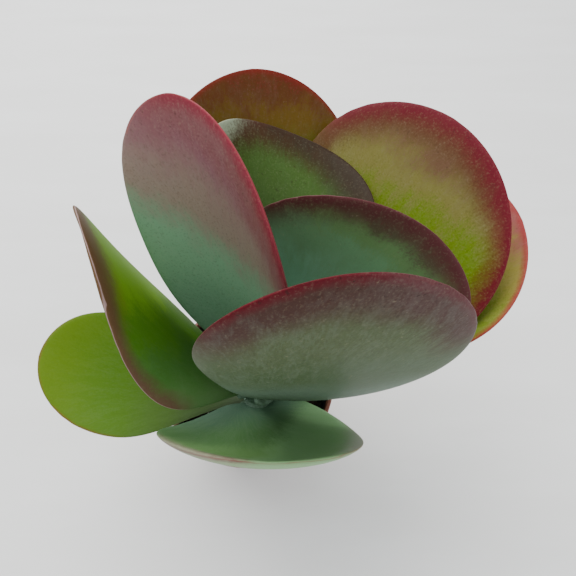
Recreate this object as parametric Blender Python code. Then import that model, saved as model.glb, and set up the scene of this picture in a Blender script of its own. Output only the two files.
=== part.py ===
"""Paddle plant, a succulent with broad flat leaves, growing in a small round terracotta pot.

Metres, +Z up. The origin is the centre of the pot's flat base and the photo looks from -Y.
Nodes: pot, soil, stem, ten leaves in five opposite pairs and the pair of small leaves of the bud.
Nothing moves. Every node is one closed body and nodes that meet leave a 0.3 mm gap.
"""
import math

import bpy
import numpy as np

MM = 0.001

# Pot: a thin tapered wall with a narrow rolled rim and four drain holes in its flat floor.
POT_HEIGHT = 75.0
POT_TOP_RADIUS = 44.2
POT_BASE_RADIUS = 32.0
POT_WALL = 1.4
POT_FLOOR = 2.6
RIM_RADIUS = 45.0
RIM_DEPTH = 5.0
FOOT_BEVEL = 1.2
POT_SEGMENTS = 64
DRAIN_COUNT = 4
DRAIN_RADIUS = 3.2
DRAIN_CIRCLE = 19.0

# Fit: the gap left wherever two nodes meet.
GAP = 0.3

# Soil: fills the pot to below its rim, with a lumpy top and a plain hole for the stem.
SOIL_LEVEL = 63.0
SOIL_LUMP = 1.1
SOIL_RINGS = 7
SOIL_SEGMENTS = 48
STEM_HOLE_FLOOR = 40.0

# Stem: stands a little off the pot's centre, with a low swelling at each pair of leaves.
STEM_X = 5.8
STEM_Y = -9.8
STEM_RADIUS = 7.4
STEM_TOP_RADIUS = 5.0
STEM_TOP = POT_HEIGHT + 37.0
STEM_SWELL = 0.35
STEM_SEGMENTS = 24

# Leaves: fleshy blades with a rounded edge, each a grid of stations along and points across.
LEAF_STATIONS = 17
LEAF_ACROSS = (0.0, 0.36, 0.66, 0.86, 0.96, 1.0)
BUD_STATIONS = 10
BUD_ACROSS = (0.0, 0.5, 0.85, 1.0)
LEAF_HALF_THICK_BASE = 1.9
LEAF_HALF_THICK_MIDDLE = 2.0
LEAF_HALF_THICK_TIP = 1.6
EDGE_ROUNDING = 5.0
TIP_ROUNDING = 2.2
CLASP_CLEARANCE = 0.27

# One row of dimensions per leaf, in millimetres and degrees. "node" is the height of its joint
# with the stem above the pot's rim. "heading" is the way it points seen from above, from +X
# towards +Y, and "turn" how far that swings by the tip. "lift" is its slope at the joint and at
# the tip, "roll" its twist there, and "cup" the bend across it, with its edges raised when positive.
# "widest" is where along it the blade is widest, "swell" how late it widens, "neck" the width of
# its foot against the full width, and "lean" how far the blade sits to one side of its midline.
# "clasp" is how far a wide foot reaches back round the stem.
LEAVES = {
    "leaf_1_left": dict(node=-4.6, heading=174, turn=6, lift=(16, 33), roll=(22, -9), length=101.5,
                        width=63, cup=20, widest=0.59, swell=1.35, neck=0.15, lean=0.07),
    "leaf_1_right": dict(node=-4.2, heading=26, turn=-21, lift=(31, 52), roll=(-13, -11), length=146,
                         width=98, cup=39, widest=0.72, swell=1.30, neck=0.13, lean=0.18),
    "leaf_2_front": dict(node=3.5, heading=281, turn=-4, lift=(24, 91), roll=(-7, -9), length=82.5, clasp=4.5,
                         width=88, cup=52, widest=0.59, swell=0.85, neck=0.34, lean=-0.11),
    "leaf_2_back": dict(node=3.2, heading=89, turn=1, lift=(40, 52), roll=(0, 13), length=149,
                        width=100, cup=18, widest=0.56, swell=1.20, neck=0.13, lean=0.01),
    "leaf_3_left": dict(node=11, heading=163, turn=-14, lift=(53, 83), roll=(31, 54), length=120.5,
                        width=80, cup=-43, widest=0.59, swell=1.10, neck=0.14, lean=0.0),
    "leaf_3_right": dict(node=10.5, heading=43, turn=6, lift=(44, 51), roll=(12, -8), length=144.5,
                         width=104, cup=24, widest=0.66, swell=1.07, neck=0.13, lean=-0.09),
    "leaf_4_front": dict(node=18.5, heading=316, turn=14, lift=(63, 100), roll=(-44, -43), length=134,
                         width=86, cup=5, widest=0.66, swell=1.10, neck=0.14, lean=0.27),
    "leaf_4_back": dict(node=19, heading=89, turn=6, lift=(65, 37), roll=(-23, 46), length=116.5,
                        width=87, cup=105, widest=0.69, swell=1.36, neck=0.13, lean=-0.30),
    "leaf_5_left": dict(node=30, heading=113, turn=7, lift=(73, 69), roll=(-44, -55), length=125.5,
                        width=73, cup=79, widest=0.53, swell=0.88, neck=0.14, lean=-0.17),
    "leaf_5_right": dict(node=26.5, heading=17, turn=0, lift=(59, 57), roll=(27, 49), length=106,
                         width=87, cup=29, widest=0.63, swell=1.27, neck=0.13, lean=0.18),
    "bud_front": dict(node=34, heading=325, turn=0, lift=(76, 90), roll=(0, 0), length=21,
                      width=10, cup=40, widest=0.58, swell=1.10, neck=0.30, lean=0.0),
    "bud_back": dict(node=34, heading=165, turn=0, lift=(76, 90), roll=(0, 0), length=21,
                     width=10, cup=40, widest=0.58, swell=1.10, neck=0.30, lean=0.0),
}

# Plain material colours: name, linear colour and roughness.
FINISHES = {
    "pot": ("terracotta_plastic", (0.155, 0.052, 0.030), 0.55),
    "soil": ("dark_soil", (0.012, 0.009, 0.007), 0.95),
    "stem": ("stem_skin", (0.190, 0.260, 0.150), 0.50),
    "leaf": ("leaf_skin", (0.130, 0.190, 0.060), 0.38),
}


def clear_scene():
    for thing in list(bpy.data.objects):
        bpy.data.objects.remove(thing, do_unlink=True)


def material_for(node):
    """The plain material of one node, made for that node alone."""
    kind = node if node in FINISHES else "leaf"
    name, colour, roughness = FINISHES[kind]
    if kind == "leaf":
        name = name + "_" + node
    material = bpy.data.materials.new(name)
    material.use_nodes = True
    shader = material.node_tree.nodes["Principled BSDF"]
    shader.inputs["Base Color"].default_value = (*colour, 1.0)
    shader.inputs["Roughness"].default_value = roughness
    material.diffuse_color = (*colour, 1.0)
    return material


def add_node(name, points, faces):
    """Makes one object from points in millimetres and outward faces."""
    mesh = bpy.data.meshes.new(name)
    mesh.from_pydata([[c * MM for c in p] for p in points], [], faces)
    mesh.validate()
    mesh.update()
    body = bpy.data.objects.new(name, mesh)
    bpy.context.scene.collection.objects.link(body)
    mesh.materials.append(material_for(name))
    return body


def revolve(profile, segments):
    """Closed body from a profile of (radius, height) that starts and ends on the axis."""
    points = []
    rows = []
    for radius, height in profile:
        if radius == 0.0:
            rows.append([len(points)] * segments)
            points.append((0.0, 0.0, height))
            continue
        rows.append(list(range(len(points), len(points) + segments)))
        for k in range(segments):
            angle = 2.0 * math.pi * k / segments
            points.append((radius * math.cos(angle), radius * math.sin(angle), height))
    faces = []
    for lower, upper in zip(rows, rows[1:]):
        for k in range(segments):
            n = (k + 1) % segments
            corners = [lower[k], lower[n], upper[n], upper[k]]
            kept = [c for i, c in enumerate(corners) if c not in corners[:i]]
            if len(kept) > 2:
                faces.append(kept)
    return points, faces


def pot_radius(height):
    """Outer radius of the tapered wall at a height."""
    return POT_BASE_RADIUS + (POT_TOP_RADIUS - POT_BASE_RADIUS) * height / POT_HEIGHT


def make_pot():
    """Pot: the turned body, then the drain holes cut through its floor."""
    top = POT_HEIGHT
    under_rim = top - RIM_DEPTH
    profile = [
        (0.0, 0.0),
        (POT_BASE_RADIUS - FOOT_BEVEL, 0.0),
        (POT_BASE_RADIUS, FOOT_BEVEL),
        (pot_radius(under_rim), under_rim),
        (RIM_RADIUS - 0.3, under_rim + 0.6),
        (RIM_RADIUS, under_rim + 1.4),
        (RIM_RADIUS, top - 0.5),
        (RIM_RADIUS - 0.5, top),
        (pot_radius(top) - POT_WALL + 0.5, top),
        (pot_radius(top) - POT_WALL, top - 0.5),
        (pot_radius(POT_FLOOR) - POT_WALL, POT_FLOOR),
        (0.0, POT_FLOOR),
    ]
    pot = add_node("pot", *revolve(profile, POT_SEGMENTS))
    for k in range(DRAIN_COUNT):
        angle = math.pi / 4.0 + 2.0 * math.pi * k / DRAIN_COUNT
        bpy.ops.mesh.primitive_cylinder_add(
            vertices=16,
            radius=DRAIN_RADIUS * MM,
            depth=4.0 * POT_FLOOR * MM,
            location=(DRAIN_CIRCLE * math.cos(angle) * MM, DRAIN_CIRCLE * math.sin(angle) * MM, 0.0),
        )
        cutter = bpy.context.object
        cut = pot.modifiers.new("drain", "BOOLEAN")
        cut.operation = "DIFFERENCE"
        cut.solver = "EXACT"
        cut.object = cutter
        bpy.ops.object.select_all(action="DESELECT")
        bpy.context.view_layer.objects.active = pot
        pot.select_set(True)
        bpy.ops.object.modifier_apply(modifier=cut.name)
        bpy.data.objects.remove(cutter, do_unlink=True)


def soil_height(x, y):
    """Lumpy soil surface: a few crossed waves, highest round the stem."""
    waves = math.sin(0.31 * x + 0.9) * math.cos(0.27 * y - 0.4) + 0.6 * math.sin(0.19 * x - 0.36 * y)
    near = math.hypot(x - STEM_X, y - STEM_Y)
    return SOIL_LEVEL + SOIL_LUMP * waves + 1.5 * math.exp(-((near / 14.0) ** 2))


def make_soil():
    """Soil: wall, floor, lumpy top and the blind hole that the stem stands in."""
    floor = POT_FLOOR + GAP
    hole = STEM_RADIUS + GAP
    turn = [2.0 * math.pi * k / SOIL_SEGMENTS for k in range(SOIL_SEGMENTS)]
    flats = 0.1
    wall_top = [pot_radius(SOIL_LEVEL) - POT_WALL - GAP - flats] * SOIL_SEGMENTS
    base_radius = pot_radius(floor) - POT_WALL - GAP - flats
    rows = []
    rows.append([(0.0, 0.0, floor)])
    rows.append([(base_radius * math.cos(a), base_radius * math.sin(a), floor) for a in turn])
    for ring in range(SOIL_RINGS):
        inward = ring / (SOIL_RINGS - 1)
        row = []
        for a, outer in zip(turn, wall_top):
            x = (1.0 - inward) * outer * math.cos(a) + inward * (STEM_X + hole * math.cos(a))
            y = (1.0 - inward) * outer * math.sin(a) + inward * (STEM_Y + hole * math.sin(a))
            height = SOIL_LEVEL if ring == 0 else soil_height(x, y)
            row.append((x, y, height))
        rows.append(row)
    rows.append([(STEM_X + hole * math.cos(a), STEM_Y + hole * math.sin(a), STEM_HOLE_FLOOR) for a in turn])
    rows.append([(STEM_X, STEM_Y, STEM_HOLE_FLOOR)])
    points = []
    index = []
    for row in rows:
        ids = list(range(len(points), len(points) + len(row)))
        index.append(ids if len(ids) > 1 else ids * SOIL_SEGMENTS)
        points.extend(row)
    faces = []
    for lower, upper in zip(index, index[1:]):
        for k in range(SOIL_SEGMENTS):
            n = (k + 1) % SOIL_SEGMENTS
            if lower[k] != lower[n]:
                faces.append((lower[k], lower[n], upper[k] if upper[k] == upper[n] else upper[n]))
            if upper[k] != upper[n]:
                faces.append((lower[k], upper[n], upper[k]))
    add_node("soil", points, faces)


def stem_radius(height):
    """Stem radius: even in the soil, tapering above it, with a low swelling at each leaf pair."""
    above = max(0.0, height - SOIL_LEVEL) / (STEM_TOP - SOIL_LEVEL)
    radius = STEM_RADIUS + (STEM_TOP_RADIUS - STEM_RADIUS) * above ** 1.5
    for leaf in LEAVES.values():
        offset = (height - POT_HEIGHT - leaf["node"] + 3.0) / 1.6
        radius += 0.25 * STEM_SWELL * math.exp(-offset * offset)
    return min(radius, STEM_RADIUS)


def make_stem():
    """Stem: a turned body with a domed top, moved to its place in the pot."""
    bottom = STEM_HOLE_FLOOR + GAP
    heights = [bottom, SOIL_LEVEL - 4.0]
    step = 2.0
    height = SOIL_LEVEL
    while height < STEM_TOP - 1.5:
        heights.append(height)
        height += step
    profile = [(0.0, bottom)] + [(stem_radius(h), h) for h in heights]
    last = stem_radius(STEM_TOP - 1.5)
    profile += [(last, STEM_TOP - 1.5), (last * 0.75, STEM_TOP - 0.4), (0.0, STEM_TOP)]
    points, faces = revolve(profile, STEM_SEGMENTS)
    points = [(x + STEM_X, y + STEM_Y, z) for x, y, z in points]
    add_node("stem", points, faces)


def half_width(s, leaf):
    """Half the blade's width at the fraction s of its length."""
    widest = leaf["widest"]
    rise = np.clip(s / widest, 0.0, 1.0) ** leaf["swell"]
    before = leaf["neck"] + (1.0 - leaf["neck"]) * np.sin(0.5 * math.pi * rise)
    past = np.clip((s - widest) / (1.0 - widest), 0.0, 1.0)
    after = np.sqrt(np.clip(1.0 - past ** TIP_ROUNDING, 0.0, 1.0))
    return np.where(s < widest, before, after) * leaf["width"] / 2.0


def half_thickness(s):
    """Half the blade's thickness on its midline, falling to nothing round the tip."""
    ends = [LEAF_HALF_THICK_BASE, LEAF_HALF_THICK_MIDDLE, LEAF_HALF_THICK_TIP]
    body = np.interp(s, [0.0, 0.35, 1.0], ends)
    return body * np.sqrt(np.clip(1.0 - np.clip((s - 0.6) / 0.4, 0.0, 1.0) ** EDGE_ROUNDING, 0.0, 1.0))


def leaf_sheet(leaf, stations, across):
    """Middle surface of a blade and its unit normals, with the places along and across it."""
    u = np.linspace(0.0, 1.0, stations)
    s = 1.0 - (1.0 - u) ** 1.75
    s[-1] = 1.0 - 0.0005
    lift = np.radians(leaf["lift"][0] + (leaf["lift"][1] - leaf["lift"][0]) * s)
    heading = np.radians(leaf["heading"] + leaf["turn"] * (s - 0.3))
    along = np.stack([np.cos(lift) * np.cos(heading), np.cos(lift) * np.sin(heading), np.sin(lift)], -1)
    steps = 0.5 * (along[1:] + along[:-1]) * (np.diff(s) * leaf["length"])[:, None]
    midline = np.concatenate([np.zeros((1, 3)), np.cumsum(steps, 0)])
    first = math.radians(leaf["heading"])
    foot = STEM_RADIUS + GAP + 0.3 - leaf.get("clasp", 0.0)
    midline += (STEM_X + foot * math.cos(first), STEM_Y + foot * math.sin(first), POT_HEIGHT + leaf["node"])
    level = np.stack([-np.sin(heading), np.cos(heading), 0.0 * heading], -1)
    upper = np.cross(along, level)
    roll = np.radians(leaf["roll"][0] + (leaf["roll"][1] - leaf["roll"][0]) * s)[:, None]
    side = np.cos(roll) * level + np.sin(roll) * upper
    face = -np.sin(roll) * level + np.cos(roll) * upper
    width = half_width(s, leaf)[:, None]
    spread = np.array([-place for place in across[:0:-1]] + list(across))[None, :]
    offset = spread * width + leaf["lean"] * width * np.sin(math.pi * s)[:, None]
    bend = math.radians(leaf["cup"]) / leaf["width"]
    angle = bend * offset
    x = (np.sin(angle) / bend)[..., None]
    y = ((1.0 - np.cos(angle)) / bend)[..., None]
    sheet = midline[:, None, :] + side[:, None, :] * x + face[:, None, :] * y
    normal = side[:, None, :] * -np.sin(angle)[..., None] + face[:, None, :] * np.cos(angle)[..., None]
    run = np.gradient(sheet, axis=0)
    normal -= run * (np.sum(normal * run, -1) / np.maximum(np.sum(run * run, -1), 1e-9))[..., None]
    normal /= np.linalg.norm(normal, axis=-1)[..., None]
    return sheet, normal, s, spread


def keep_off_stem(points, clasp):
    """Moves points that would enter the stem out to its surface plus the gap, more round a clasp."""
    clear = STEM_RADIUS + GAP + CLASP_CLEARANCE * clasp
    dx = points[:, 0] - STEM_X
    dy = points[:, 1] - STEM_Y
    reach = np.hypot(dx, dy)
    push = np.where(reach < clear, clear / np.maximum(reach, 1e-6), 1.0)
    points[:, 0] = STEM_X + dx * push
    points[:, 1] = STEM_Y + dy * push
    return points


def make_leaf(name, leaf, stations, across):
    """Leaf: two faces that meet in a rounded edge, closed at the foot and at the tip."""
    sheet, normal, s, spread = leaf_sheet(leaf, stations, across)
    edge = np.sqrt(np.clip(1.0 - np.abs(spread) ** EDGE_ROUNDING, 0.0, 1.0))
    thick = (half_thickness(s)[:, None] * edge)[..., None]
    upper = sheet + normal * thick
    lower = sheet - normal * thick
    ring = np.concatenate([upper, lower[:, -2:0:-1]], axis=1)
    count = ring.shape[1]
    top_steps = upper.shape[1] - 1
    tip = ring[-1].mean(0)
    root = ring[0].mean(0)
    points = np.vstack([ring.reshape(-1, 3), tip, root])
    points = keep_off_stem(points, leaf.get("clasp", 0.0))
    faces = []
    for i in range(stations - 1):
        a = i * count
        b = a + count
        for k in range(count):
            n = (k + 1) % count
            if k < top_steps:
                faces.append((a + k, b + n, a + n))
                faces.append((a + k, b + k, b + n))
            else:
                faces.append((a + k, b + k, a + n))
                faces.append((a + n, b + k, b + n))
    last = (stations - 1) * count
    for k in range(count):
        n = (k + 1) % count
        faces.append((last + k, len(points) - 2, last + n))
        faces.append((n, len(points) - 1, k))
    add_node(name, points.tolist(), faces)


def main():
    clear_scene()
    make_pot()
    make_soil()
    make_stem()
    for name, leaf in LEAVES.items():
        if name.startswith("bud"):
            make_leaf(name, leaf, BUD_STATIONS, BUD_ACROSS)
        else:
            make_leaf(name, leaf, LEAF_STATIONS, LEAF_ACROSS)


main()
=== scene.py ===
"""Paddle plant in its pot: the looks of the potted succulent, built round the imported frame."""
import math
import random

import bmesh
import bpy
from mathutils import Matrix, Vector, bvhtree, kdtree


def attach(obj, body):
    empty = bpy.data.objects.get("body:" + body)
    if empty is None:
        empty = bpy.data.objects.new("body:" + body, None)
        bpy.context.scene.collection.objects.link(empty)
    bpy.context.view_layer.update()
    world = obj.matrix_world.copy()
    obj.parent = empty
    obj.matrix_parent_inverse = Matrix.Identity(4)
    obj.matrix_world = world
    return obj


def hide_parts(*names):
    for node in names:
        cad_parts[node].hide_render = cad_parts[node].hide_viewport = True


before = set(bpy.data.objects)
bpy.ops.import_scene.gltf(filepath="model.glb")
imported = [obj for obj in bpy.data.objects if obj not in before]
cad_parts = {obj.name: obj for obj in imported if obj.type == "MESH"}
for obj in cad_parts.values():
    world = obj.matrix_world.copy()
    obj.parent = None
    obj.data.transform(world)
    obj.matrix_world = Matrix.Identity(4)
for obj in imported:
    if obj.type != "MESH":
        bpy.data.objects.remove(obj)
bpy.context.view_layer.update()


# Table and light.
# The plant stands on a pale painted table in soft daylight: a broad sky over it, a window
# high at the back left, and a little warm light back from the room at the front right.
TABLE_SIZE = 4.0
TABLE_PAINT = (0.81, 0.81, 0.80)
TABLE_PAINT_WORN = (0.77, 0.765, 0.75)
BRUSH_STRETCH = (3.0, 14.0, 1.0)
BRUSH_SCALE = 2.0
SKY_COLOUR = (0.90, 0.95, 1.0, 1.0)
SKY_STRENGTH = 1.0
LAMP_SIZE = 1.2
WINDOW_PLACE = (-0.32, 0.68, 1.12)
WINDOW_AIM = (0.0, 0.05, 0.1)
WINDOW_POWER = 28.0
WINDOW_COLOUR = (1.0, 0.99, 0.97)
ROOM_PLACE = (0.55, -0.75, 0.95)
ROOM_AIM = (0.0, 0.0, 0.1)
ROOM_POWER = 6.0
ROOM_COLOUR = (1.0, 0.96, 0.91)


class Wire:
    """A shader socket that can be used in ordinary sums."""

    def __init__(self, tree, socket):
        self.tree = tree
        self.socket = socket

    def node(self, kind, settings=None, output=0, **inputs):
        """Adds one node: its settings first, then the values or links of its sockets.

        A socket goes by its name with _ for each space, or by its number after an i."""
        made = self.tree.nodes.new(kind)
        for name, value in (settings or {}).items():
            setattr(made, name, value)
        for name, value in inputs.items():
            key = int(name[1:]) if name[0] == "i" and name[1:].isdigit() else name.replace("_", " ")
            socket = made.inputs[key]
            if isinstance(value, Wire):
                self.tree.links.new(value.socket, socket)
            elif socket.type == "RGBA":
                socket.default_value = (*value, 1.0)
            else:
                socket.default_value = value
        return Wire(self.tree, made.outputs[output])

    def work_out(self, operation, first, second):
        return self.node("ShaderNodeMath", {"operation": operation}, i0=first, i1=second)

    def __add__(self, other):
        return self.work_out("ADD", self, other)

    def __mul__(self, other):
        return self.work_out("MULTIPLY", self, other)

    def __sub__(self, other):
        return self.work_out("SUBTRACT", self, other)

    def __rsub__(self, other):
        return self.work_out("SUBTRACT", other, self)

    __radd__ = __add__
    __rmul__ = __mul__

    def between(self, low, high):
        """0 below low and 1 above high, or 1 below and 0 above where low is the higher one."""
        settings = {"interpolation_type": "SMOOTHSTEP", "clamp": True}
        return self.node("ShaderNodeMapRange", settings, Value=self, From_Min=low, From_Max=high,
                         To_Min=0.0, To_Max=1.0)

    def mix(self, first, second):
        """This mask's blend of two colours."""
        settings = {"data_type": "RGBA", "clamp_factor": True}
        return self.node("ShaderNodeMix", settings, output=2, i0=self, i6=first, i7=second)


def new_finish(name, roughness, **uniform):
    """A material, the place on its piece as a wire, and its shader with the even values set."""
    finish = bpy.data.materials.new(name)
    finish.use_nodes = True
    tree = finish.node_tree
    shader = tree.nodes["Principled BSDF"]
    shader.inputs["Roughness"].default_value = roughness
    for key, value in uniform.items():
        shader.inputs[key.replace("_", " ")].default_value = value
    where = Wire(tree, tree.nodes.new("ShaderNodeTexCoord").outputs["Object"])
    return finish, where, shader


def noise(where, scale, detail=3.0, rough=0.55, distort=0.0):
    return where.node("ShaderNodeTexNoise", output="Fac", Vector=where, Scale=scale, Detail=detail,
                      Roughness=rough, Distortion=distort)


def stretched(where, scale):
    """The same place with its axes stretched, for streaks."""
    return where.node("ShaderNodeMapping", Vector=where, Scale=scale)


def join(wire, shader, socket):
    wire.tree.links.new(wire.socket, shader.inputs[socket])


def deselect():
    if bpy.context.object and bpy.context.object.mode != "OBJECT":
        bpy.ops.object.mode_set(mode="OBJECT")
    bpy.ops.object.select_all(action="DESELECT")


def add_light(name, place, target, power, colour):
    lamp = bpy.data.lights.new(name, "AREA")
    lamp.shape = "SQUARE"
    lamp.size = LAMP_SIZE
    lamp.energy = power
    lamp.color = colour
    holder = bpy.data.objects.new(name, lamp)
    holder.location = place
    aim = Vector(target) - Vector(place)
    holder.rotation_euler = aim.to_track_quat("-Z", "Y").to_euler()
    bpy.context.scene.collection.objects.link(holder)


deselect()
bpy.ops.mesh.primitive_plane_add(size=TABLE_SIZE, location=(0.0, 0.0, 0.0))
table = bpy.context.object
table.name = "table"
table_finish, where, shader = new_finish("pale_table", 0.6)
brushing = noise(stretched(where, BRUSH_STRETCH), BRUSH_SCALE, detail=4.0)
join(brushing.between(0.3, 0.75).mix(TABLE_PAINT_WORN, TABLE_PAINT), shader, "Base Color")
table.data.materials.append(table_finish)

sky = bpy.data.worlds.new("sky")
bpy.context.scene.world = sky
sky.use_nodes = True
background = sky.node_tree.nodes["Background"]
background.inputs["Color"].default_value = SKY_COLOUR
background.inputs["Strength"].default_value = SKY_STRENGTH
add_light("window", WINDOW_PLACE, WINDOW_AIM, WINDOW_POWER, WINDOW_COLOUR)
add_light("room", ROOM_PLACE, ROOM_AIM, ROOM_POWER, ROOM_COLOUR)


# Camera.
# The photograph looks steeply down on the plant from just in front of the pot.
CAMERA_PLACE = (0.0206, -0.0822, 0.3123)
CAMERA_TILT = 30.0
CAMERA_LENS = 29.0
CAMERA_FILM = 36.0
CAMERA_NEAREST = 0.01

camera_data = bpy.data.cameras.new("camera")
camera_data.lens = CAMERA_LENS
camera_data.sensor_width = CAMERA_FILM
camera_data.clip_start = CAMERA_NEAREST
camera = bpy.data.objects.new("camera", camera_data)
camera.location = CAMERA_PLACE
camera.rotation_euler = (math.radians(CAMERA_TILT), 0.0, 0.0)
bpy.context.scene.collection.objects.link(camera)
bpy.context.scene.camera = camera


# Pot.
# A small nursery pot of thin moulded plastic, terracotta coloured, with a narrow rolled rim and four
# drain holes, its shape copied from the CAD pot. Inside, below a wavy line, it is painted near-black: painted
# shade.
POT_CLAY = (0.150, 0.045, 0.030)
POT_CLAY_WORN = (0.215, 0.080, 0.052)
POT_DUST = (0.30, 0.20, 0.15)
# Painted shade: the near-black laid on the pot's inside below a wavy line.
POT_PAINTED_SHADE = (0.010, 0.007, 0.006)
POT_CLOUD_SCALE = 38.0
POT_GRAIN_SCALE = 420.0
POT_DUST_SHARE = 0.3
POT_SHADE_TOP = 0.0725
POT_SHADE_FADE = 0.003
POT_SHADE_WAVE = 0.004
POT_BUMP = (0.12, 0.0004)
POT_SHARP_EDGE = 35.0
WELD_DISTANCE = 0.00002
QUAD_BEND = math.radians(50)
QUAD_SKEW = math.radians(60)


def raise_bump(wire, shader, strength, distance):
    join(wire.node("ShaderNodeBump", Height=wire, Strength=strength, Distance=distance), shader, "Normal")


def take_up(piece):
    """Makes one object the only selected and active one."""
    deselect()
    bpy.context.view_layer.objects.active = piece
    piece.select_set(True)


def copy_of(node, name):
    """A copy of a CAD node's mesh as a new piece, with its loose triangles joined up."""
    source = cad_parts[node]
    piece = bpy.data.objects.new(name, source.data.copy())
    bpy.context.scene.collection.objects.link(piece)
    piece.data.materials.clear()
    take_up(piece)
    bpy.ops.object.mode_set(mode="EDIT")
    bpy.ops.mesh.select_all(action="SELECT")
    bpy.ops.mesh.remove_doubles(threshold=WELD_DISTANCE)
    bpy.ops.mesh.tris_convert_to_quads(face_threshold=QUAD_BEND, shape_threshold=QUAD_SKEW)
    bpy.ops.mesh.select_all(action="DESELECT")
    bpy.ops.object.mode_set(mode="OBJECT")
    return piece


def place_piece(piece, node, finish):
    """Gives the piece its finish, lets it ride on the plant's body and stand for its CAD node."""
    piece.data.materials.clear()
    piece.data.materials.append(finish)
    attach(piece, "root")
    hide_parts(node)


pot_finish, where, shader = new_finish("pot_plastic", 0.5, Specular_IOR_Level=0.4)
height = where.node("ShaderNodeSeparateXYZ", output="Z", Vector=where)
facing = where.node("ShaderNodeNewGeometry", output="Normal")
level = where.node("ShaderNodeVectorMath", {"operation": "MULTIPLY"}, i0=where, i1=(1.0, 1.0, 0.0))
outward = where.node("ShaderNodeVectorMath", {"operation": "DOT_PRODUCT"}, output="Value",
                     i0=level, i1=facing)
cloud = noise(where, POT_CLOUD_SCALE, detail=4.0)
fine = noise(where, POT_GRAIN_SCALE, detail=2.0)
clay = cloud.between(0.3, 0.7).mix(POT_CLAY, POT_CLAY_WORN)
clay = ((cloud * 0.5 + fine * 0.5).between(0.52, 0.68) * POT_DUST_SHARE).mix(clay, POT_DUST)
# Painted shade: the inward-facing wall below a wavy line near the top is darkened to near-black.
inside = 1.0 - outward.between(-0.03, -0.01)
under_shade_line = 1.0 - (height + cloud * POT_SHADE_WAVE).between(POT_SHADE_TOP, POT_SHADE_TOP + POT_SHADE_FADE)
join((inside * under_shade_line).mix(clay, POT_PAINTED_SHADE), shader, "Base Color")
join(0.42 + fine * 0.25, shader, "Roughness")
raise_bump(fine, shader, *POT_BUMP)

pot = copy_of("pot", "pot_shell")
bpy.ops.object.shade_smooth_by_angle(angle=math.radians(POT_SHARP_EDGE))
place_piece(pot, "pot", pot_finish)


# Soil.
# Dark potting mix of bark and peat, crumbly on top, with a few pale grains of perlite; its near-black
# ground is partly painted shade. It is poured in round the stem and pressed down a little below the rim.
# Partly painted shade: the soil's near-black ground colour stands in part for deep shade under the leaves.
SOIL_DARK_AND_PAINTED_SHADE = (0.006, 0.0045, 0.0035)
SOIL_BARK = (0.040, 0.026, 0.017)
PERLITE = (0.55, 0.52, 0.47)
PERLITE_SHADE = (0.36, 0.33, 0.28)
CLOD_SCALE = 260.0
SOIL_GRAIN_SCALE = 1300.0
PERLITE_SCALE = 900.0
SOIL_BUMP = (0.8, 0.0015)
CRUMBS = 420
CRUMB_SIZES = (0.0006, 0.0019)
PERLITE_GRAINS = 46
PERLITE_SIZES = (0.0006, 0.0012)
LUMP_WIDTHS = (0.7, 1.3)
LUMP_HEIGHTS = (0.45, 0.9)
LUMP_KNOCKS = (0.75, 1.15)
LUMP_LIFT = 0.25
SOIL_REACH = 0.038
STEM_CLEAR = 0.010
STEM_PLACE = Vector((0.0058, -0.0098, 0.0))
SOIL_SHARP_EDGE = 40.0
SOIL_SEED = 11
ABOVE_ALL = Vector((0.0, 0.0, 0.2))
DOWN = Vector((0.0, 0.0, -1.0))

soil_finish, where, shader = new_finish("potting_mix", 0.95, Specular_IOR_Level=0.15)
clods = noise(where, CLOD_SCALE, detail=5.0, rough=0.7)
grain = noise(where, SOIL_GRAIN_SCALE, detail=2.0, rough=0.6)
crumb = clods * 0.7 + grain * 0.3
join(crumb.between(0.38, 0.72).mix(SOIL_DARK_AND_PAINTED_SHADE, SOIL_BARK), shader, "Base Color")
raise_bump(crumb, shader, *SOIL_BUMP)
perlite_finish, where, shader = new_finish("perlite", 0.9, Specular_IOR_Level=0.2)
join(noise(where, PERLITE_SCALE).between(0.3, 0.7).mix(PERLITE_SHADE, PERLITE), shader, "Base Color")

soil = copy_of("soil", "soil_mix")
bpy.ops.object.shade_smooth_by_angle(angle=math.radians(SOIL_SHARP_EDGE))
place_piece(soil, "soil", soil_finish)
soil_tree = bvhtree.BVHTree.FromObject(soil, bpy.context.evaluated_depsgraph_get())
random.seed(SOIL_SEED)


def scatter(name, count, sizes, finish):
    """Small angular lumps resting on the soil, joined into one piece."""
    made = bmesh.new()
    while count:
        spot = Vector((random.uniform(-SOIL_REACH, SOIL_REACH), random.uniform(-SOIL_REACH, SOIL_REACH), 0.0))
        if spot.length > SOIL_REACH or (spot - STEM_PLACE).length < STEM_CLEAR:
            continue
        ground = soil_tree.ray_cast(spot + ABOVE_ALL, DOWN)[0]
        size = random.uniform(*sizes)
        lump = bmesh.ops.create_icosphere(made, subdivisions=1, radius=size)["verts"]
        squash = [random.uniform(*span) for span in (LUMP_WIDTHS, LUMP_WIDTHS, LUMP_HEIGHTS)]
        rest = ground + Vector((0.0, 0.0, size * LUMP_LIFT))
        for vertex in lump:
            vertex.co *= random.uniform(*LUMP_KNOCKS)
            vertex.co = Vector(a * b for a, b in zip(vertex.co, squash)) + rest
        count -= 1
    mesh = bpy.data.meshes.new(name)
    made.to_mesh(mesh)
    made.free()
    mesh.materials.append(finish)
    lumps = bpy.data.objects.new(name, mesh)
    bpy.context.scene.collection.objects.link(lumps)
    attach(lumps, "root")


scatter("soil_crumbs", CRUMBS, CRUMB_SIZES, soil_finish)
scatter("perlite_grains", PERLITE_GRAINS, PERLITE_SIZES, perlite_finish)
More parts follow.
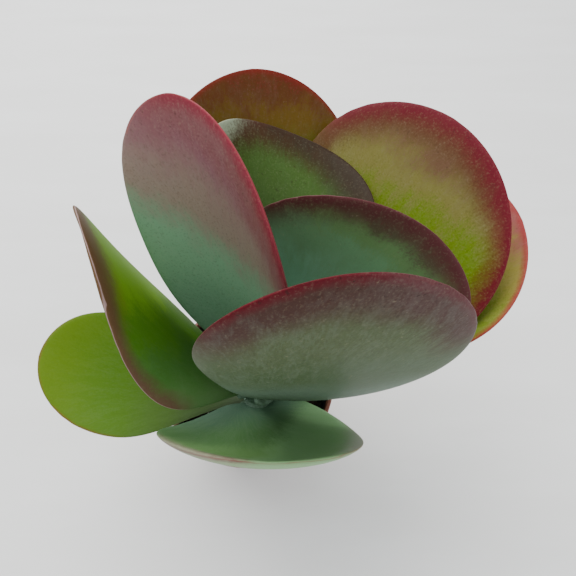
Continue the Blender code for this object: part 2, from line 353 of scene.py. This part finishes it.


# Stem.
# A short fleshy stem, pale grey-green under a rough waxy bloom. The leaves' feet grow out of it
# in knuckles, so the CAD stem is copied, its knuckles are added and all is fused and smoothed.
STEM_BLOOM = (0.125, 0.200, 0.140)
STEM_SKIN = (0.055, 0.110, 0.058)
STEM_MOTTLE_SCALE = 210.0
STEM_CRUST_SCALE = 760.0
STEM_BUMP = (0.10, 0.0004)
FOOT_REACH = 0.011
KNUCKLE_REACH = 0.0042
KNUCKLE_HALF_DEPTH = 0.0024
KNUCKLE_SIDES = 0.0012
KNUCKLE_SEGMENTS = 20
KNUCKLE_RINGS = 12
STEM_VOXEL = 0.0007
STEM_SMOOTHING = 0.6
STEM_SMOOTHING_TURNS = 22
LEAF_NODES = [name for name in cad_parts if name.startswith("leaf_")]


def foot_of(node):
    """The middle of a leaf's foot, its way out from the stem and its half width."""
    points = [vertex.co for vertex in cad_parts[node].data.vertices]

    def from_stem(point):
        return (point.xy - STEM_PLACE.xy).length

    nearest = min(points, key=from_stem)
    near = [p for p in points if (p - nearest).length < FOOT_REACH and from_stem(p) < FOOT_REACH]
    middle = sum(near, Vector()) / len(near)
    outward = Vector((middle.x - STEM_PLACE.x, middle.y - STEM_PLACE.y, 0.0)).normalized()
    side = outward.cross(Vector((0.0, 0.0, 1.0)))
    half = max(abs((p - middle).dot(side)) for p in near)
    return middle, outward, half


def settle(piece):
    """Leaves the finished piece at the origin, unturned and unscaled."""
    take_up(piece)
    bpy.ops.object.transform_apply(location=True, rotation=True, scale=True)


stem_finish, where, shader = new_finish("stem_bloom", 0.62, Specular_IOR_Level=0.3)
mottle = noise(where, STEM_MOTTLE_SCALE, detail=4.0, rough=0.6, distort=0.6)
crust = noise(where, STEM_CRUST_SCALE, rough=0.6)
join((mottle * 0.65 + crust * 0.35).between(0.40, 0.60).mix(STEM_SKIN, STEM_BLOOM), shader, "Base Color")
raise_bump(mottle * 0.5 + crust * 0.5, shader, *STEM_BUMP)

stem = copy_of("stem", "stem_shoot")
knuckles = []
for node in LEAF_NODES:
    middle, outward, half = foot_of(node)
    bpy.ops.mesh.primitive_uv_sphere_add(segments=KNUCKLE_SEGMENTS, ring_count=KNUCKLE_RINGS,
                                         radius=1.0, location=middle)
    knuckle = bpy.context.object
    knuckle.scale = (KNUCKLE_REACH, half + KNUCKLE_SIDES, KNUCKLE_HALF_DEPTH)
    knuckle.rotation_euler = (0.0, 0.0, math.atan2(outward.y, outward.x))
    knuckles.append(knuckle)
take_up(stem)
for knuckle in knuckles:
    knuckle.select_set(True)
bpy.ops.object.join()
settle(stem)
fuse = stem.modifiers.new("fuse", "REMESH")
fuse.mode = "VOXEL"
fuse.voxel_size = STEM_VOXEL
bpy.ops.object.modifier_apply(modifier=fuse.name)
soften = stem.modifiers.new("soften", "SMOOTH")
soften.factor = STEM_SMOOTHING
soften.iterations = STEM_SMOOTHING_TURNS
bpy.ops.object.modifier_apply(modifier=soften.name)
bpy.ops.object.shade_smooth()
place_piece(stem, "stem", stem_finish)


# Leaves.
# Thick, flat and rounded, each narrowing to a fleshy foot on the stem. The skin is green under a
# waxy bloom, blushes brown and crimson where the sun reaches it, and ends in a thin coloured rim.
FOOT_SPREAD = 0.008
RIM_FROM_FOOT = 0.009
RIM_STEP = 0.0008
AXIS_HEIGHT = 0.12
MIDDLE_WEIGHT = 15.0
FOOT_WEIGHT = 300.0
LEAST_ARM = 0.002
MILLIMETRES = 1000.0
LEAF_SMOOTHING = 2
UP_ROUNDS = 5
UPPER = 0


def divide_faces(shape, seeds):
    """Which seed each face belongs to, when the sharpest edges between the seeds part them."""
    group = {face: face for face in shape.faces}
    owner = {face: number for number, face in enumerate(seeds)}

    def head(face):
        while group[face] is not face:
            face = group[face]
        return face

    for edge in sorted(shape.edges, key=lambda e: e.calc_face_angle(0.0)):
        first, second = (head(face) for face in edge.link_faces[:2])
        if first is second or (first in owner and second in owner):
            continue
        if second in owner:
            first, second = second, first
        group[second] = first
    return {face: owner[head(face)] for face in shape.faces}


def rim_of(shape, part, foot):
    """Close points along the edge of a blade's upper face, to measure from, without its foot."""
    points = []
    for edge in shape.edges:
        a, b = (vertex.co for vertex in edge.verts)
        sides = {part[face] for face in edge.link_faces}
        clear = min((a - foot).length, (b - foot).length) > RIM_FROM_FOOT
        if len(sides) == 2 and UPPER in sides and clear:
            steps = max(1, int((b - a).length / RIM_STEP))
            points += [a.lerp(b, step / steps) for step in range(steps + 1)]
    tree = kdtree.KDTree(len(points))
    for number, place in enumerate(points):
        tree.insert(place, number)
    tree.balance()
    return tree


def leaf_piece(node):
    """A smooth leaf over its CAD solid, with its skin's measures kept as attributes."""
    piece = copy_of(node, "blade_" + node)
    mesh = piece.data
    shape = bmesh.new()
    shape.from_mesh(mesh)
    shape.normal_update()
    closest = min(shape.verts, key=lambda v: (v.co.xy - STEM_PLACE.xy).length)
    near = [v.co for v in shape.verts if (v.co - closest.co).length < FOOT_SPREAD]
    foot = sum(near, Vector()) / len(near)
    areas = {face: face.calc_area() for face in shape.faces}
    centre = sum((face.calc_center_median() * areas[face] for face in shape.faces), Vector())
    centre /= sum(areas.values())
    # The upper face looks in at the plant's axis.
    up = (Vector((STEM_PLACE.x, STEM_PLACE.y, foot.z + AXIS_HEIGHT)) - centre).normalized()
    for _ in range(UP_ROUNDS):
        up = sum((f.normal * areas[f] for f in shape.faces if f.normal.dot(up) > 0.0), Vector()).normalized()
    ahead = (centre - foot).normalized()
    across = up.cross(ahead).normalized()

    def suits(face, way, spot, weight):
        return face.normal.dot(way) - (face.calc_center_median() - spot).length * weight

    # The seeds are the middles of the upper face, which is number UPPER, the lower face and the foot.
    seeds = [max(shape.faces, key=lambda f: suits(f, up, centre, MIDDLE_WEIGHT)),
             max(shape.faces, key=lambda f: suits(f, -up, centre, MIDDLE_WEIGHT)),
             max(shape.faces, key=lambda f: suits(f, -ahead, foot, FOOT_WEIGHT))]
    part = divide_faces(shape, seeds)
    tree = rim_of(shape, part, foot)
    reach = max((v.co - foot).length for v in shape.verts)
    values = {"rim": [], "ahead": [], "aside": [], "fan": [], "upper": []}
    for vertex in shape.verts:
        arm = vertex.co - foot
        fan = math.atan2(arm.dot(across), max(arm.dot(ahead), LEAST_ARM))
        marks = [part[face] == UPPER for face in vertex.link_faces]
        values["rim"].append(tree.find(vertex.co)[2] * MILLIMETRES)
        values["ahead"].append(arm.length / reach * math.cos(fan))
        values["aside"].append(arm.length / reach * math.sin(fan))
        values["fan"].append(fan)
        values["upper"].append(sum(marks) / max(len(marks), 1))
    shape.free()
    for name, numbers in values.items():
        mesh.attributes.new(name, "FLOAT", "POINT").data.foreach_set("value", numbers)
    finer = piece.modifiers.new("finer", "SUBSURF")
    finer.levels = LEAF_SMOOTHING
    finer.render_levels = LEAF_SMOOTHING
    take_up(piece)
    bpy.ops.object.modifier_apply(modifier=finer.name)
    bpy.ops.object.shade_smooth()
    return piece


BLOOM = (0.40, 0.50, 0.42)
PALE_DOT = (0.50, 0.44, 0.28)
DARK_DOT = (0.045, 0.020, 0.015)
RED_RIM = (0.38, 0.10, 0.08)
BRIGHTEST_DOT = 0.75
SKIN_IOR = 1.22
SKIN_BUMP = (0.22, 0.0004)
FAN_STREAKS = 24.0
STREAKS_ALONG = 9.0
SIDES_APART = 3.0
STREAK_SCALE = 0.9
FIBRE_STRETCH = (3.0, 3.4, 1.0)
FIBRE_SCALE = 1.5
CLOUD_SCALE = 42.0
DOT_SCALE = 1250.0
BLOT_SCALE = 520.0
BAND_FADE = 0.18
RIM_LINE_WIDTH = (0.02, 0.32)
RIM_LINE_START = (0.25, 0.5)


def skin(name, seed, tone_and_painted_light, way, stops, bands, patches=(), bloom=0.2, grain=0.4, specks=0.3,
         rim_line=RED_RIM, rim_strength=0.3, roughness=0.42, gloss=0.30):
    """A leaf's skin, laid on from the ground colours to the bloom, the specks and the rim's line."""
    finish, where, shader = new_finish(name, roughness, Specular_IOR_Level=gloss, IOR=SKIN_IOR)

    # Every colour is scaled by the tone, which is partly painted light lifting leaves in shade.
    def toned(colour, most=math.inf):
        return tuple(min(tone_and_painted_light, most) * part for part in colour)

    def attribute(label):
        return where.node("ShaderNodeAttribute", {"attribute_name": label}, output="Fac")

    rim = attribute("rim")
    ahead = attribute("ahead")
    aside = attribute("aside")
    side = attribute("upper") * SIDES_APART
    fan_place = where.node("ShaderNodeCombineXYZ", X=attribute("fan") * FAN_STREAKS + seed,
                           Y=ahead * STREAKS_ALONG, Z=side)
    streak = noise(fan_place, STREAK_SCALE, detail=4.0, rough=0.6, distort=0.5)
    fibre = noise(stretched(fan_place, FIBRE_STRETCH), FIBRE_SCALE, rough=0.65, distort=0.4)
    cloud = noise(where, CLOUD_SCALE, detail=4.0, rough=0.6)
    dots = noise(where, DOT_SCALE, detail=2.0, rough=0.6)
    blots = noise(where, BLOT_SCALE, rough=0.65)
    warp = (cloud - 0.5) * 0.20 + (streak - 0.5) * 0.12 + (dots - 0.5) * 0.10

    def toward(angle):
        turn = math.radians(angle)
        return ahead * math.cos(turn) + aside * math.sin(turn)

    place = toward(way) + warp
    colour = toned(stops[0][1])
    for (low, _), (high, shade) in zip(stops, stops[1:]):
        blush = place.between(low, high)
        colour = blush.mix(colour, toned(shade))
    for shade, full, width, angle, low in bands:
        ragged = rim + (streak - 0.5) * width * 0.6 + (dots - 0.5) * width * 0.4
        near_rim = 1.0 - ragged.between(full, width)
        near_rim = near_rim * (toward(angle) + warp * 0.4).between(low, low + BAND_FADE)
        colour = near_rim.mix(colour, toned(shade))
    for shade, angle, low, high, strength in patches:
        patch = (toward(angle) + warp * 0.7).between(low, high)
        colour = (patch * strength).mix(colour, toned(shade))
    wax = (streak * 0.5 + fibre * 0.5).between(0.42, 0.62) * bloom
    wax = wax * (1.0 - near_rim * 0.85) * (1.0 - blush * 0.6)
    colour = wax.mix(colour, toned(BLOOM, BRIGHTEST_DOT))
    mottle = dots * 0.75 + fibre * 0.25
    colour = (mottle.between(0.52, 0.68) * 0.22 * grain).mix(colour, toned(PALE_DOT, BRIGHTEST_DOT))
    colour = (mottle.between(0.48, 0.34) * 0.45 * grain).mix(colour, toned(DARK_DOT))
    colour = (blots.between(0.66, 0.74) * 0.35 * specks).mix(colour, toned(PALE_DOT, BRIGHTEST_DOT))
    colour = (blots.between(0.38, 0.31) * 0.8 * specks * blush).mix(colour, toned(DARK_DOT))
    line = (1.0 - rim.between(*RIM_LINE_WIDTH)) * (ahead + streak * 0.1).between(*RIM_LINE_START)
    colour = (line * rim_strength).mix(colour, rim_line)
    join(colour, shader, "Base Color")
    join(roughness + wax * 0.35 + (dots - 0.5) * 0.12, shader, "Roughness")
    raise_bump(fibre * 0.4 + dots * 0.3 + blots * 0.4, shader, *SKIN_BUMP)
    return finish


# A way is in degrees off the leaf's own length, and a place along it is a share of its reach.
# The tone says how light a skin is; it is partly painted light, set above 1 to lift leaves that lie
# in shade, such as leaf_2_front, leaf_5_right and leaf_3_left. Its stops, each a place and a colour,
# follow one another along its way. A band round the rim is a colour, the millimetres from the rim
# within which it is full and past which it is gone, a way, and the place along it before which there
# is none. A patch is a colour, a way, the places where it starts and is full, and its strength. Bloom,
# grain and specks say how much wax and how many fine and coarse dots there are.
BUD_SKIN = dict(
    tone_and_painted_light=1.0, way=0, bloom=0.2, grain=0.2,
    stops=[(0.0, (0.14, 0.22, 0.13)), (0.8, (0.12, 0.18, 0.09))],
    bands=[((0.22, 0.05, 0.05), 0.0, 1.2, 0, 0.5)])
LEAF_SKINS = {
    # Partly painted light: leaf_1_left's bright yellow-green toward its tip stands partly for light shining
    # through it.
    "leaf_1_left": dict(
        tone_and_painted_light=0.54, way=0, bloom=0.04, grain=0.12, specks=0.12, roughness=0.38,
        stops=[(0.0, (0.20, 0.27, 0.15)), (0.25, (0.125, 0.21, 0.07)),
               (0.62, (0.122, 0.260, 0.024)), (1.0, (0.160, 0.285, 0.010))],
        bands=[((0.26, 0.15, 0.03), 0.0, 1.6, 0, 0.5)]),
    "leaf_1_right": dict(
        tone_and_painted_light=0.90, way=20, bloom=0.04, grain=0.3,
        stops=[(0.3, (0.14, 0.26, 0.02)), (0.55, (0.16, 0.22, 0.018)),
               (0.72, (0.31, 0.26, 0.055)), (0.86, (0.31, 0.09, 0.08))],
        bands=[((0.30, 0.035, 0.035), 0.0, 3.0, 0, 0.5)]),
    # Painted light: leaf_2_front lies in leaf_4_front's shade, so its high tone and its first, green patch
    # lift it.
    "leaf_2_front": dict(
        tone_and_painted_light=2.2, way=0, bloom=0.09, grain=0.15, specks=0.1, rim_line=(0.20, 0.05, 0.05), rim_strength=0.5,
        stops=[(0.05, (0.038, 0.076, 0.048)), (0.36, (0.035, 0.078, 0.026)),
               (0.62, (0.065, 0.130, 0.040)), (0.9, (0.10, 0.15, 0.07))],
        bands=[((0.060, 0.032, 0.024), 0.0, 2.8, 0, 0.36)],
        patches=[((0.090, 0.170, 0.075), 50, 0.30, 0.46, 0.8), ((0.10, 0.095, 0.065), 55, 0.66, 0.82, 0.8),
                 ((0.12, 0.115, 0.08), -55, 0.64, 0.80, 0.8)]),
    "leaf_2_back": dict(
        tone_and_painted_light=0.58, way=0, bloom=0.03, grain=0.3,
        stops=[(0.3, (0.10, 0.18, 0.02)), (0.7, (0.18, 0.19, 0.018)), (0.86, (0.18, 0.100, 0.010)),
               (0.93, (0.15, 0.048, 0.010)), (0.99, (0.19, 0.024, 0.010))],
        bands=[((0.24, 0.024, 0.014), 0.0, 3.0, 0, 0.5)]),
    # Painted highlight: leaf_3_left's pale rim line is a highlight along its outer edge; its tone above 1 is
    # painted light lifting it out of shade.
    "leaf_3_left": dict(
        tone_and_painted_light=1.40, way=-45, bloom=0.03, grain=0.12, specks=0.1, roughness=0.5, gloss=0.12,
        rim_line=(0.55, 0.40, 0.40), rim_strength=0.45,
        stops=[(0.05, (0.060, 0.125, 0.040)), (0.22, (0.038, 0.105, 0.018)),
               (0.36, (0.045, 0.125, 0.004)), (0.50, (0.10, 0.22, 0.001))],
        bands=[((0.075, 0.040, 0.026), 0.0, 9.0, 50, 0.36)],
        patches=[((0.075, 0.042, 0.020), 25, 0.74, 0.88, 0.9)]),
    "leaf_3_right": dict(
        tone_and_painted_light=0.69, way=12, bloom=0.03, grain=0.40, specks=0.3,
        stops=[(0.4, (0.11, 0.24, 0.004)), (0.68, (0.155, 0.25, 0.006)),
               (0.80, (0.23, 0.205, 0.055)), (0.93, (0.17, 0.085, 0.045))],
        bands=[((0.13, 0.070, 0.026), 4.25, 17.0, 30, 0.55), ((0.17, 0.012, 0.024), 0.0, 13.0, -18, 0.56)]),
    # Partly painted light: leaf_4_front's pale first stop lightens its foot, which lies in shade.
    "leaf_4_front": dict(
        tone_and_painted_light=0.53, way=-4, bloom=0.12, grain=0.50, specks=0.9, rim_line=(0.30, 0.05, 0.06), rim_strength=0.06,
        stops=[(0.34, (0.18, 0.28, 0.19)), (0.60, (0.100, 0.155, 0.070)),
               (0.80, (0.110, 0.150, 0.058)), (1.0, (0.115, 0.065, 0.050))],
        bands=[((0.090, 0.036, 0.026), 5.25, 21.0, 2, 0.65), ((0.16, 0.008, 0.018), 0.0, 4.5, 0, 0.74)],
        patches=[((0.22, 0.150, 0.145), 30, 0.78, 0.92, 0.45)]),
    "leaf_4_back": dict(
        tone_and_painted_light=0.65, way=0, bloom=0.04, grain=0.35, specks=0.5, rim_strength=0.15,
        stops=[(0.2, (0.07, 0.15, 0.06)), (0.8, (0.072, 0.145, 0.028))],
        bands=[((0.075, 0.038, 0.016), 4.25, 17.0, 0, 0.55), ((0.078, 0.030, 0.018), 0.0, 4.0, 0, 0.6)],
        patches=[((0.030, 0.022, 0.012), -40, 0.66, 0.80, 0.8), ((0.46, 0.56, 0.38), 60, 0.55, 0.66, 0.8)]),
    "leaf_5_left": dict(
        tone_and_painted_light=1.20, way=-40, bloom=0.08, grain=0.55, specks=0.45,
        stops=[(0.02, (0.125, 0.250, 0.155)), (0.30, (0.155, 0.300, 0.180)),
               (0.50, (0.200, 0.150, 0.115)), (0.72, (0.175, 0.072, 0.085))],
        bands=[((0.165, 0.060, 0.062), 5.0, 20.0, -60, 0.33), ((0.18, 0.022, 0.035), 0.0, 6.0, -60, 0.38)]),
    "leaf_5_right": dict(
        tone_and_painted_light=2.1, way=0, bloom=0.03, grain=0.35, specks=0.5, rim_line=(0.30, 0.14, 0.16), rim_strength=0.25,
        stops=[(0.46, (0.115, 0.240, 0.165)), (0.76, (0.060, 0.128, 0.064)),
               (0.86, (0.050, 0.098, 0.036)), (0.93, (0.034, 0.036, 0.019))],
        bands=[((0.036, 0.010, 0.011), 0.0, 13.0, 0, 0.60)]),
    "bud_front": BUD_SKIN,
    "bud_back": BUD_SKIN,
}
SEED_STEP = 7.3
for number, (node, looks) in enumerate(LEAF_SKINS.items()):
    blade = leaf_piece(node)
    place_piece(blade, node, skin("skin_" + node, number * SEED_STEP, **looks))
